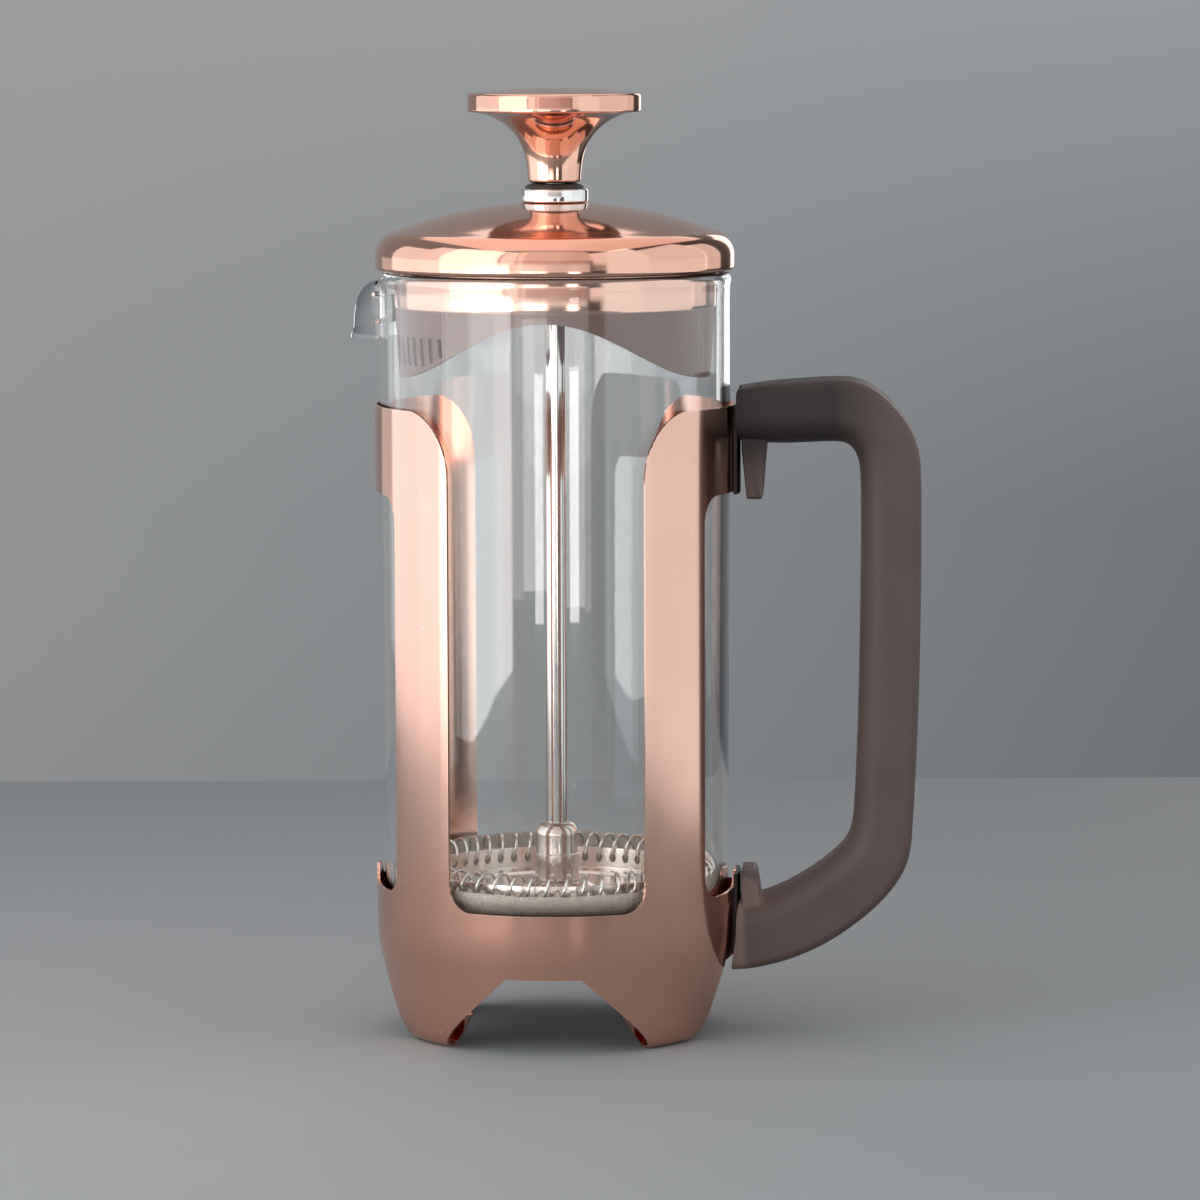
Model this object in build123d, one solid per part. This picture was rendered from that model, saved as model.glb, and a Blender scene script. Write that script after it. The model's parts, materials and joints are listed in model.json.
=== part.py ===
from build123d import *
import math
import os

# Three-cup french press: sheet frame, glass beaker, domed lid, plunger.
# Millimetres, +Z up. Origin: beaker axis at table level.
# +X points to the handle, -X to the spout, -Y to the front window.

# ---- driving dimensions ----
FRAME_R = 36.4            # outer radius of the frame sheet
SHEET = 0.8               # frame sheet thickness
BAND_TOP_Z = 127.1
BAND_LOW_Z = 109.8
WINDOW_Z = 28.4           # lower edge of front and back windows
SIDE_Z = 29.8             # lower edge of side openings
WINDOW_HALF_DEG = 32.4
UPRIGHT_OUT_DEG = 57.8    # outer edge of each upright, from front or back
ARCH_Z = 15.6             # flat top of the arches between the feet
LEDGE_T = 0.8
BEAKER_Z0 = 16.5          # underside of the glass
BEAKER_RIM_Z = 153.6
BEAKER_R_LOW = 34.8
BEAKER_R_HIGH = 35.2
GLASS = 1.7
SPOUT_REACH = 41.1        # outermost point of the spout from the axis
SPOUT_LIP_Z = 140.8
SPOUT_HALF_W = 7.0
LID_R = 36.1
LID_EDGE_Z = 153.9
LID_APEX_Z = 167.4
LINER_R = 32.3
LINER_LOW_Z = 132.8
LINER_WAVE = 11.9
LINER_TAPER = 1.2         # inward lean of the skirt at its lower edge
ROD_D = 4.2
RUN_CLEAR = 0.05
COLLAR_R = 6.78
COLLAR_TOP_Z = 170.1
KNOB_R = 17.45
KNOB_LOW_Z = 171.3
KNOB_RIM_Z = 185.4
KNOB_TOP_Z = 189.2
KNOB_CROWN = 0.95
HUB_R = 4.4
HUB_LOW_Z = 30.4
HUB_TOP_Z = 42.4
PLATE_Z = 28.3
FILTER_R = 32.8
MESH_TOP_Z = 32.7
HANDLE_W = 16.0
STRAP_T = 0.8

os.makedirs("parts", exist_ok=True)


def save(shape, name):
    shape.label = name
    export_step(shape, f"parts/{name}.step")


def offset_line(pts, t):
    """Points moved by t to the left of the direction of travel."""
    out = []
    n = len(pts)
    for i in range(n):
        a = pts[max(i - 1, 0)]
        b = pts[min(i + 1, n - 1)]
        if i == 0:
            d1 = d2 = (pts[1][0] - pts[0][0], pts[1][1] - pts[0][1])
        elif i == n - 1:
            d1 = d2 = (pts[-1][0] - pts[-2][0], pts[-1][1] - pts[-2][1])
        else:
            d1 = (pts[i][0] - a[0], pts[i][1] - a[1])
            d2 = (b[0] - pts[i][0], b[1] - pts[i][1])
        l1 = math.hypot(*d1)
        l2 = math.hypot(*d2)
        n1 = (-d1[1] / l1, d1[0] / l1)
        n2 = (-d2[1] / l2, d2[0] / l2)
        m = (n1[0] + n2[0], n1[1] + n2[1])
        lm = math.hypot(*m)
        m = (m[0] / lm, m[1] / lm)
        k = t / max(0.5, m[0] * n1[0] + m[1] * n1[1])
        out.append((pts[i][0] + m[0] * k, pts[i][1] + m[1] * k))
    return out


def rz_face(pts):
    """Closed face in the XZ plane from (r, z) points."""
    v = [Vector(r, 0, z) for r, z in pts]
    return Face(Wire.make_polygon(v, close=True))


def turned(pts):
    return revolve(rz_face(pts), Axis.Z, 360)


def ring(r_in, r_out, z0, z1):
    return turned([(r_in, z0), (r_out, z0), (r_out, z1), (r_in, z1)])


def disc(r, z0, z1):
    return Pos(0, 0, (z0 + z1) / 2) * Cylinder(r, z1 - z0)


def prism_y(pts, y0, y1):
    """XZ outline pushed from y0 to y1."""
    f = Face(Wire.make_polygon([Vector(x, y0, z) for x, z in pts], close=True))
    return extrude(f, amount=y1 - y0, dir=(0, 1, 0))


def prism_x(pts, x0, x1):
    """YZ outline pushed from x0 to x1."""
    f = Face(Wire.make_polygon([Vector(x0, y, z) for y, z in pts], close=True))
    return extrude(f, amount=x1 - x0, dir=(1, 0, 0))


def arc_pts(cx, cz, r, a0, a1, n):
    return [(cx + r * math.cos(math.radians(a0 + (a1 - a0) * i / n)),
             cz + r * math.sin(math.radians(a0 + (a1 - a0) * i / n))) for i in range(n + 1)]


# ---------------------------------------------------------------- frame
# outer line of the sheet from the top edge down to the rolled foot
wall = [(FRAME_R, BAND_TOP_Z), (FRAME_R, 22.0), (36.3, 20.0), (36.05, 18.0), (35.6, 15.8),
        (35.1, 12.5), (34.45, 8.5), (33.75, 5.0), (33.2, 3.0),
        (32.3, 1.3), (31.5, 0.4), (30.8, 0.0), (29.6, 0.0), (28.8, 0.5), (28.35, 1.5), (28.5, 2.9),
        (29.4, 4.6), (30.6, 6.3), (31.7, 7.8)]
inner = offset_line(wall, -SHEET)
frame = turned(wall + inner[::-1])

a = math.radians(WINDOW_HALF_DEG)
wx = FRAME_R * math.sin(a)
corner = 5.0
# window outline: rounded lower corners, ends flared outward at the top
flare = []
for i in range(9):
    t = i / 8 * math.pi / 2
    s = 32.0 - 10.8 * math.cos(t)
    z = 114.1 + (BAND_TOP_Z - 114.1) * math.sin(t)
    flare.append((FRAME_R * math.sin(s / FRAME_R), z))
right = arc_pts(wx - corner, WINDOW_Z + corner, corner, -90, 0, 6) + flare + [(29.5, BAND_TOP_Z + 0.01), (29.5, 140)]
left = [(-x, z) for x, z in right]
window = right + left[::-1]
frame -= prism_y(window, -45, 45)

# side openings: level bands above, a small upturned tab in the middle of the lower edge
side_half = FRAME_R * math.sin(math.radians(90 - UPRIGHT_OUT_DEG))
half = ([(0, SIDE_Z + 3.5), (1.6, SIDE_Z + 3.5), (2.6, SIDE_Z + 3.1), (3.4, SIDE_Z + 2.1), (4.2, SIDE_Z + 1.2), (6.0, SIDE_Z + 0.5), (9.0, SIDE_Z)]
        + arc_pts(side_half - 4.2, SIDE_Z + 4.2, 4.2, -90, 0, 6)
        + arc_pts(side_half - 5.2, BAND_LOW_Z - 5.2, 5.2, 0, 90, 6) + [(0, BAND_LOW_Z)])
side = half + [(-y, z) for y, z in half[::-1]]
side = side[:-1]
frame -= prism_x(side, -45, 45)

# arches between the feet; the flat tops carry ledges turned inward for the glass
front_arch = [(-7.9, ARCH_Z), (7.9, ARCH_Z), (18.6, 4.6), (21.2, 0.9), (21.2, -2), (-21.2, -2), (-21.2, 0.9), (-18.6, 4.6)]
side_arch = [(-8.9, ARCH_Z), (8.9, ARCH_Z), (14.6, 1.0), (14.6, -2), (-14.6, -2), (-14.6, 1.0)]
frame -= prism_y(front_arch, -45, 45)
frame -= prism_x(side_arch, -45, 45)

ledge_band = ring(25.0, 35.0, ARCH_Z, ARCH_Z + LEDGE_T)
ledge_keep = Pos(0, 0, ARCH_Z + LEDGE_T / 2) * (Box(15.0, 90, LEDGE_T) + Box(90, 15.0, LEDGE_T))
frame = frame + (ledge_band & ledge_keep)

# ---------------------------------------------------------------- beaker
zb = BEAKER_Z0
outer = ([(0, zb)] + arc_pts(BEAKER_R_LOW - 6, zb + 6, 6, -90, 0, 8)
         + [(BEAKER_R_LOW, 62), (BEAKER_R_HIGH, 120), (BEAKER_R_HIGH + 0.05, 149.6),
            (35.55, 150.6), (35.8, 151.8), (35.6, 152.9), (35.0, 153.5), (34.5, BEAKER_RIM_Z),
            (34.0, 153.45), (33.65, 152.8), (33.5, 151.8)])
ri_l, ri_h = BEAKER_R_LOW - GLASS, BEAKER_R_HIGH - GLASS
inner_b = ([(ri_h, 120), (ri_l, 62)]
           + arc_pts(ri_l - 4.5, zb + 2.2 + 4.5, 4.5, 0, -90, 6) + [(0, zb + 2.2)])
beaker = turned(outer + inner_b)

# spout: a short elbow under the rim, open downward, fed by a hole in the wall
def hood(grow):
    xo = SPOUT_REACH - 34.0 - grow
    yo = SPOUT_HALF_W - grow
    zt = 152.6 - grow * 1.3
    zr = 146.0
    secs = []
    for k in range(7):
        t = k / 6 * math.pi / 2
        s = max(math.cos(t), 0.30)
        z = zr + (zt - zr) * math.sin(t)
        secs.append((s, z))
    base = Face(Wire.make_polygon(
        [Vector(-34.0 - xo * math.sin(math.radians(u)), yo * math.cos(math.radians(u)), SPOUT_LIP_Z)
         for u in range(0, 181, 15)], close=True))
    body = extrude(base, amount=zr - SPOUT_LIP_Z, dir=(0, 0, 1))
    for (s0, z0), (s1, z1) in zip(secs[:-1], secs[1:]):
        w0 = Wire.make_polygon([Vector(-34.0 - xo * s0 * math.sin(math.radians(u)),
                                       yo * math.cos(math.radians(u)) * (0.55 + 0.45 * s0), z0)
                                for u in range(0, 181, 15)], close=True)
        w1 = Wire.make_polygon([Vector(-34.0 - xo * s1 * math.sin(math.radians(u)),
                                       yo * math.cos(math.radians(u)) * (0.55 + 0.45 * s1), z1)
                                for u in range(0, 181, 15)], close=True)
        body = body + Solid.make_loft([w0, w1], ruled=True)
    return body


hood_out = hood(0.0)
hood_in = hood(1.1)
bore_keep = disc(34.4, 130, 153)
hood_out = hood_out - bore_keep
beaker = beaker + hood_out
cav = hood_in & (Pos(-40, 0, 145.3) * Box(9.4, 30, 9.4))
beaker = beaker - cav
# the hole through the wall behind the elbow
feed = prism_x([(-5.2, 143.0), (5.2, 143.0), (5.2, 147.4), (3.9, 149.2), (-3.9, 149.2), (-5.2, 147.4)], -36.6, -30)
beaker = beaker - feed

# ---------------------------------------------------------------- lid
dome_out = [(6.9, LID_APEX_Z), (10.0, 167.0), (13.0, 166.6), (18.1, 165.8), (21.5, 165.15), (24.7, 164.35),
            (27.9, 163.3), (30.5, 162.2), (32.6, 161.1), (34.2, 159.8), (35.2, 158.1), (35.8, 156.4),
            (LID_R, 155.0), (LID_R, 154.3), (35.9, 154.0), (35.5, LID_EDGE_Z), (33.2, LID_EDGE_Z), (33.2, LID_EDGE_Z + 0.7),
            (35.0, LID_EDGE_Z + 0.7)]
dome_in = [(35.0, 156.2), (34.4, 157.8), (33.5, 159.2), (32.1, 160.35), (30.1, 161.4), (27.6, 162.5),
           (24.5, 163.55), (21.3, 164.35), (18.0, 165.0), (13.0, 165.8), (10.0, 166.2), (6.9, 166.6),
           (4.1, 166.6), (4.1, LID_APEX_Z)]
lid_dome = turned(dome_out + dome_in)

cup_top = 158.0
liner = turned([(4.1, cup_top), (LINER_R - 1.2, cup_top), (LINER_R - 0.35, cup_top - 0.35), (LINER_R, cup_top - 1.2),
                (LINER_R, 147.2), (LINER_R - 0.35, 146.8), (LINER_R - 0.35 - LINER_TAPER, 130.0),
                (LINER_R - 0.95 - LINER_TAPER, 130.0), (LINER_R - 0.95, 147.0), (LINER_R - 0.6, 147.4),
                (LINER_R - 0.6, cup_top - 1.3), (LINER_R - 1.3, cup_top - 0.6), (4.1, cup_top - 0.6)])
wave = []
for i in range(25):
    x = -LINER_R + 2 * LINER_R * i / 24
    wave.append((x, LINER_LOW_Z + LINER_WAVE * (1 - (x / LINER_R) ** 2) ** 2))
liner -= prism_y([(-LINER_R - 3, LINER_LOW_Z)] + wave + [(LINER_R + 3, LINER_LOW_Z), (LINER_R + 3, 120), (-LINER_R - 3, 120)], -45, 45)
# strainer slots on the spout side
for k in range(-10, 11):
    zc = 138.4
    slot = Pos(-LINER_R, 0, zc) * Box(4, 1.1, 5.4)
    liner -= Rot(0, 0, k * 4.4) * slot

tube_r = 4.0
ferrule = turned([(3.25, 151.6), (tube_r, 151.6), (tube_r, LID_APEX_Z + 0.02), (COLLAR_R - 0.35, LID_APEX_Z + 0.02),
                  (COLLAR_R, LID_APEX_Z + 0.35), (COLLAR_R, COLLAR_TOP_Z - 0.4), (COLLAR_R - 0.4, COLLAR_TOP_Z),
                  (5.1, COLLAR_TOP_Z), (4.9, COLLAR_TOP_Z - 0.3), (4.9, 168.8), (3.25, 168.8)])
washer_z = cup_top - 0.6
ferrule_washer = ring(tube_r + 0.08, 8.0, washer_z - 1.0, washer_z - 0.02)
nut_z1 = washer_z - 1.04
ferrule_nut = extrude(Pos(0, 0, nut_z1 - 3.4) * RegularPolygon(6.9, 6), amount=3.4) - disc(tube_r + 0.03, 140, 160)
bush_in = ROD_D / 2 + RUN_CLEAR
guide_bush = turned([(bush_in, 151.0), (3.2, 151.0), (3.2, 168.85), (4.75, 168.85), (4.75, COLLAR_TOP_Z + 0.04), (6.0, COLLAR_TOP_Z + 0.04),
                     (5.95, COLLAR_TOP_Z + 0.35), (5.5, COLLAR_TOP_Z + 0.75), (4.8, COLLAR_TOP_Z + 1.0), (bush_in, COLLAR_TOP_Z + 1.0)])

# ---------------------------------------------------------------- plunger
trumpet = [(4.9, KNOB_LOW_Z), (5.3, KNOB_LOW_Z + 0.5), (5.35, 172.4), (5.5, 173.8), (5.75, 175.6), (6.2, 177.3),
           (6.85, 179.0), (7.6, 180.5), (8.85, 182.0), (10.3, 183.2), (12.3, 184.3), (14.4, 185.1), (15.6, KNOB_RIM_Z)]
knob_pts = ([(0, 184.0), (2.1, 184.0), (2.1, KNOB_LOW_Z)] + trumpet
            + [(KNOB_R - 0.4, KNOB_RIM_Z), (KNOB_R, KNOB_RIM_Z + 0.4), (KNOB_R, KNOB_TOP_Z - 0.6), (KNOB_R - 0.6, KNOB_TOP_Z)]
            + [(KNOB_R * (1 - i / 6), KNOB_TOP_Z + KNOB_CROWN * (1 - (1 - i / 6) ** 2)) for i in range(1, 7)])
knob = turned(knob_pts)
rod_low = 24.4
plunger_rod = disc(ROD_D / 2 - 0.02, rod_low, 183.9)
rb = ROD_D / 2
filter_hub = turned([(rb, HUB_LOW_Z), (HUB_R, HUB_LOW_Z), (HUB_R, 35.8), (HUB_R - 0.2, 36.1), (HUB_R - 0.2, HUB_TOP_Z - 2.4),
                     (HUB_R - 0.5, HUB_TOP_Z - 1.3), (HUB_R - 1.1, HUB_TOP_Z - 0.5), (HUB_R - 1.9, HUB_TOP_Z), (rb, HUB_TOP_Z)])
# stepped plate with a raised middle and an upturned rim
plate_top = [(rb, HUB_LOW_Z), (6.2, HUB_LOW_Z), (8.4, PLATE_Z + 0.5), (19.0, PLATE_Z + 0.5), (20.0, PLATE_Z + 1.0),
             (24.6, PLATE_Z + 1.0), (25.6, PLATE_Z + 0.45), (27.0, PLATE_Z + 0.45), (27.0, 33.2), (27.45, 33.2),
             (27.45, PLATE_Z), (25.4, PLATE_Z), (24.4, PLATE_Z + 0.55), (20.2, PLATE_Z + 0.55), (19.2, PLATE_Z + 0.05),
             (8.2, PLATE_Z + 0.05), (6.0, HUB_LOW_Z - 0.5), (rb, HUB_LOW_Z - 0.5)]
spring_plate = turned(plate_top)
holes = None
for k in range(28):
    h = Rot(0, 0, 360 / 56 * k) * (Pos(0, 0, 31.2) * Rot(90, 0, 0) * Cylinder(0.65, 60))
    holes = h if holes is None else holes + h
spring_plate -= holes
filter_spring = Pos(0, 0, 33.2) * Torus(30.0, 2.35)
mesh_pts = [(rb, 27.75), (28.0, 27.75), (30.5, 28.4), (31.9, 29.6), (32.5, 31.0), (32.5, MESH_TOP_Z),
            (FILTER_R, MESH_TOP_Z), (FILTER_R, 30.9), (32.15, 29.4), (30.65, 28.1), (28.05, 27.4), (rb, 27.4)]
mesh_screen = turned(mesh_pts)
cross_plate = ring(rb, 26.0, 26.8, 27.38)
for k in range(8):
    cross_plate -= Rot(0, 0, 45 * k + 22.5) * (Pos(15.5, 0, 27) * Cylinder(4.0, 4))
    cross_plate -= Rot(0, 0, 45 * k) * (Pos(21.8, 0, 27) * Cylinder(1.8, 4))
filter_nut = extrude(Pos(0, 0, 24.4) * RegularPolygon(4.6, 6), amount=2.38) - disc(rb, 20, 30)

# ---------------------------------------------------------------- handle
out_line = [(34.0, 130.1), (38.6, 130.6), (42.9, 131.25), (50.0, 131.9), (56.0, 132.2), (59.5, 132.0), (63.0, 130.9),
            (66.6, 128.3), (69.8, 124.6), (72.0, 121.0), (73.1, 117.0), (73.5, 111.0), (73.6, 93.0), (73.35, 80.0),
            (73.05, 67.0), (72.55, 54.0), (72.0, 43.7), (71.6, 38.4), (70.7, 34.6), (68.5, 30.6), (65.0, 26.5),
            (59.9, 22.2), (53.7, 18.2), (47.0, 15.3), (41.8, 13.9), (36.7, 13.2), (34.0, 13.0)]
in_line = [(34.0, 27.6), (41.3, 27.9), (45.4, 29.5), (49.5, 31.6), (54.1, 34.8), (57.7, 38.0),
           (59.4, 40.7), (59.95, 43.4), (60.4, 51.5), (60.95, 67.0), (61.3, 87.0), (61.4, 107.5), (61.1, 115.4),
           (60.5, 117.6), (59.1, 119.1), (56.6, 119.7), (48.7, 119.3), (42.6, 119.3), (34.0, 120.2)]


def inset_closed(pts, c):
    n = len(pts)
    out = []
    for i in range(n):
        p, a0, b0 = pts[i], pts[i - 1], pts[(i + 1) % n]
        d1 = (p[0] - a0[0], p[1] - a0[1])
        d2 = (b0[0] - p[0], b0[1] - p[1])
        l1, l2 = math.hypot(*d1), math.hypot(*d2)
        n1 = (d1[1] / l1, -d1[0] / l1)
        n2 = (d2[1] / l2, -d2[0] / l2)
        m = (n1[0] + n2[0], n1[1] + n2[1])
        lm = math.hypot(*m)
        m = (m[0] / lm, m[1] / lm)
        k = c / max(0.6, m[0] * n1[0] + m[1] * n1[1])
        out.append((p[0] + m[0] * k, p[1] + m[1] * k))
    return out


hw = HANDLE_W / 2
outline = out_line + in_line


def xz_wire(pts, y):
    return Wire.make_polygon([Vector(x, y, z) for x, z in pts], close=True)


levels = [(-hw, 2.2), (-hw + 0.35, 1.2), (-hw + 1.1, 0.42), (-hw + 2.2, 0.0)]
levels += [(-y, c) for y, c in levels[::-1]]
handle = None
for (y0, c0), (y1, c1) in zip(levels[:-1], levels[1:]):
    if abs(c0 - c1) < 1e-6:
        seg = prism_y(outline, y0, y1)
    else:
        seg = Solid.make_loft([xz_wire(inset_closed(outline, c0), y0), xz_wire(inset_closed(outline, c1), y1)], ruled=True)
    handle = seg if handle is None else handle + seg
finger = prism_y([(42.1, 121.0), (41.45, 108.7), (41.0, 108.2), (38.6, 108.2), (38.15, 108.7), (37.5, 117.2), (37.3, 121.0)], -5.5, 5.5)
toe = prism_y([(41.6, 27.0), (40.6, 32.3), (40.1, 33.3), (36.0, 33.3), (36.0, 27.0)], -6.2, 6.2)
handle = handle + finger + toe
# the ends follow the wall of the frame with a small gap
seat = [(0, 0), (33.9, 0.0), (34.6, 4.0), (35.5, 8.5), (36.1, 12.2), (36.65, 15.8), (37.1, 18.0), (37.35, 20.0), (37.4, 22.0),
        (37.4, 140.0), (0, 140.0)]
handle = handle - turned(seat)
# pockets for the bracket tongues
handle -= Pos(41.4, 0, 125.8) * Box(9.2, 6.4, 2.8)
handle -= Pos(40.9, 0, 23.0) * Box(8.2, 6.4, 2.8)

# straps: thin bands that follow the outside of the frame wall
strap_in = [(p[0] + 0.03, p[1]) for p in [(35.62, 15.9), (36.05, 18.0), (36.3, 20.0), (FRAME_R, 22.0), (FRAME_R, 140.0)]]
strap_out = [(p[0] + STRAP_T + 0.03, p[1]) for p in [(35.62, 15.9), (36.05, 18.0), (36.3, 20.0), (FRAME_R, 22.0), (FRAME_R, 140.0)]]
strap_shell = turned(strap_in + strap_out[::-1])


def strap(z0, z1, half_w):
    return strap_shell & (Pos(40, 0, (z0 + z1) / 2) * Box(20, 2 * half_w, z1 - z0))


handle_bracket_top = strap(109.2, 127.0, 6.0) + Pos(41.1, 0, 125.8) * Box(8.4, 6.0, 2.4)
handle_bracket_bottom = strap(16.2, 32.6, 6.0) + Pos(40.7, 0, 23.0) * Box(7.4, 6.0, 2.4)

for shape, name in [
        (frame, "frame"), (handle, "handle"), (handle_bracket_top, "handle_bracket_top"),
        (handle_bracket_bottom, "handle_bracket_bottom"), (beaker, "beaker"), (lid_dome, "lid_dome"),
        (liner, "lid_liner"), (ferrule, "ferrule"), (ferrule_washer, "ferrule_washer"),
        (ferrule_nut, "ferrule_nut"), (guide_bush, "guide_bush"), (knob, "knob"), (plunger_rod, "plunger_rod"),
        (filter_hub, "filter_hub"), (spring_plate, "spring_plate"), (filter_spring, "filter_spring"),
        (mesh_screen, "mesh_screen"), (cross_plate, "cross_plate"), (filter_nut, "filter_nut")]:
    save(shape, name)
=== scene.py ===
import bpy, bmesh, math, json
from mathutils import Vector, Matrix, Euler
from mathutils.geometry import tessellate_polygon

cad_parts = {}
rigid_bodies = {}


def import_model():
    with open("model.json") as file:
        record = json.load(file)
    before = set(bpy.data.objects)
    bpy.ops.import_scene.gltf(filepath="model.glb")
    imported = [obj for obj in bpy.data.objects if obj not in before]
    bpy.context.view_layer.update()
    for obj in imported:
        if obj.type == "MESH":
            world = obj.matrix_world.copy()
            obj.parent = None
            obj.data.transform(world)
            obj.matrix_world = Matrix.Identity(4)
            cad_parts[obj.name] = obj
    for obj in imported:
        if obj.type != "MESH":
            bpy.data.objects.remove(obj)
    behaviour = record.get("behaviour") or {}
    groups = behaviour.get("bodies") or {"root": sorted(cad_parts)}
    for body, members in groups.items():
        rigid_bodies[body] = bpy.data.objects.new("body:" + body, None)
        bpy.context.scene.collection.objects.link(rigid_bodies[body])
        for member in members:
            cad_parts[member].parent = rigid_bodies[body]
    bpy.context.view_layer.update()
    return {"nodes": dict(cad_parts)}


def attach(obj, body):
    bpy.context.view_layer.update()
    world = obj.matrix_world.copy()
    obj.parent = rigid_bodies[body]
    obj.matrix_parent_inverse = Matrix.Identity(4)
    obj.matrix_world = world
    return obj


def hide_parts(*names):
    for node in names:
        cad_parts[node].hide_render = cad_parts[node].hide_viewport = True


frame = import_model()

MM = 0.001
TAU = 2 * math.pi
ctx = bpy.context


# ------------------------------------------------------------------ outline helpers (millimetres)
def spl(pts, n=6, closed=False):
    """Centripetal Catmull-Rom through the points."""
    P = [Vector(p) for p in pts]
    m = len(P)
    out = []
    rng = range(m if closed else m - 1)
    for i in rng:
        if closed:
            p0, p1, p2, p3 = P[i - 1], P[i], P[(i + 1) % m], P[(i + 2) % m]
        else:
            p1, p2 = P[i], P[i + 1]
            p0 = P[i - 1] if i > 0 else p1 + (p1 - p2)
            p3 = P[i + 2] if i + 2 < m else p2 + (p2 - p1)
        t0 = 0.0
        t1 = t0 + max((p1 - p0).length, 1e-6) ** 0.5
        t2 = t1 + max((p2 - p1).length, 1e-6) ** 0.5
        t3 = t2 + max((p3 - p2).length, 1e-6) ** 0.5
        for k in range(n):
            t = t1 + (t2 - t1) * k / n
            a1 = p0 * ((t1 - t) / (t1 - t0)) + p1 * ((t - t0) / (t1 - t0))
            a2 = p1 * ((t2 - t) / (t2 - t1)) + p2 * ((t - t1) / (t2 - t1))
            a3 = p2 * ((t3 - t) / (t3 - t2)) + p3 * ((t - t2) / (t3 - t2))
            b1 = a1 * ((t2 - t) / (t2 - t0)) + a2 * ((t - t0) / (t2 - t0))
            b2 = a2 * ((t3 - t) / (t3 - t1)) + a3 * ((t - t1) / (t3 - t1))
            c = b1 * ((t2 - t) / (t2 - t1)) + b2 * ((t - t1) / (t2 - t1))
            out.append(tuple(c))
    if not closed:
        out.append(tuple(P[-1]))
    return out


def fil(pts, n=5, closed=False):
    """Polyline with rounded corners: each point is (x, y) or (x, y, radius)."""
    out = []
    m = len(pts)
    for i, p in enumerate(pts):
        r = p[2] if len(p) > 2 else 0.0
        if r <= 0 or (not closed and i in (0, m - 1)):
            out.append((p[0], p[1]))
            continue
        a = Vector(pts[i - 1][:2]); c = Vector(p[:2]); b = Vector(pts[(i + 1) % m][:2])
        u = (a - c); v = (b - c)
        lu, lv = u.length, v.length
        u.normalize(); v.normalize()
        ang = math.acos(max(-1, min(1, u.dot(v))))
        d = r / math.tan(ang / 2)
        d = min(d, lu * 0.499, lv * 0.499)
        rr = d * math.tan(ang / 2)
        s, e = c + u * d, c + v * d
        ctr = c + (u + v).normalized() * (rr / math.sin(ang / 2))
        a0 = math.atan2(s.y - ctr.y, s.x - ctr.x)
        a1 = math.atan2(e.y - ctr.y, e.x - ctr.x)
        da = (a1 - a0 + math.pi) % TAU - math.pi
        for k in range(n + 1):
            t = a0 + da * k / n
            out.append((ctr.x + rr * math.cos(t), ctr.y + rr * math.sin(t)))
    return out


def arc(cx, cy, r, a0, a1, n):
    return [(cx + r * math.cos(math.radians(a0 + (a1 - a0) * i / n)),
             cy + r * math.sin(math.radians(a0 + (a1 - a0) * i / n))) for i in range(n + 1)]


def offset(pts, t):
    out = []
    m = len(pts)
    for i in range(m):
        a = Vector(pts[max(i - 1, 0)]); b = Vector(pts[min(i + 1, m - 1)])
        d = (b - a).normalized()
        out.append((pts[i][0] - d.y * t, pts[i][1] + d.x * t))
    return out


# ------------------------------------------------------------------ mesh helpers
def make(name, verts, faces, mat, smooth=True):
    me = bpy.data.meshes.new(name)
    me.from_pydata([(x * MM, y * MM, z * MM) for x, y, z in verts], [], faces)
    me.update()
    ob = bpy.data.objects.new(name, me)
    ctx.collection.objects.link(ob)
    if mat is not None:
        me.materials.append(mat)
    bm = bmesh.new()
    bm.from_mesh(me)
    bmesh.ops.remove_doubles(bm, verts=bm.verts, dist=1e-7)
    bmesh.ops.recalc_face_normals(bm, faces=bm.faces)
    bm.to_mesh(me)
    bm.free()
    for p in me.polygons:
        p.use_smooth = smooth
    return ob


def lathe(name, prof, mat, segs=160, closed=True):
    """Turned form about Z. prof is a loop of (r, z); points at r 0 become poles."""
    verts, faces, rows = [], [], []
    for r, z in prof:
        if r < 1e-4:
            rows.append([len(verts)] * segs)
            verts.append((0, 0, z))
        else:
            rows.append(list(range(len(verts), len(verts) + segs)))
            for k in range(segs):
                a = TAU * k / segs
                verts.append((r * math.cos(a), r * math.sin(a), z))
    n = len(prof)
    for i in range(n if closed else n - 1):
        A, B = rows[i], rows[(i + 1) % n]
        if A[0] == A[1] and B[0] == B[1]:
            continue
        for k in range(segs):
            q = [A[k], A[(k + 1) % segs], B[(k + 1) % segs], B[k]]
            q2 = []
            for v in q:
                if v not in q2:
                    q2.append(v)
            if len(q2) > 2:
                faces.append(q2)
    return make(name, verts, faces, mat)


def radial_cutter(outline, r0, r1):
    """Solid between radii r0 and r1 behind an outline of (degrees, z)."""
    fine = []
    for i, (d0, z0) in enumerate(outline):
        d1, z1 = outline[(i + 1) % len(outline)]
        k = max(1, math.ceil(abs(d1 - d0) / 1.5)) if abs(z1 - z0) > 0.05 else 1
        fine += [(d0 + (d1 - d0) * j / k, z0 + (z1 - z0) * j / k) for j in range(k)]
    outline = fine
    n = len(outline)
    verts = []
    for r in (r0, r1):
        for d, z in outline:
            a = math.radians(d)
            verts.append((r * math.cos(a), r * math.sin(a), z))
    tris = tessellate_polygon([[Vector((d, z, 0)) for d, z in outline]])
    faces = [[i, (i + 1) % n, n + (i + 1) % n, n + i] for i in range(n)]
    for t in tris:
        faces.append(list(t))
        faces.append([n + i for i in reversed(t)])
    return make("cutter", verts, faces, None, smooth=False)


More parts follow.
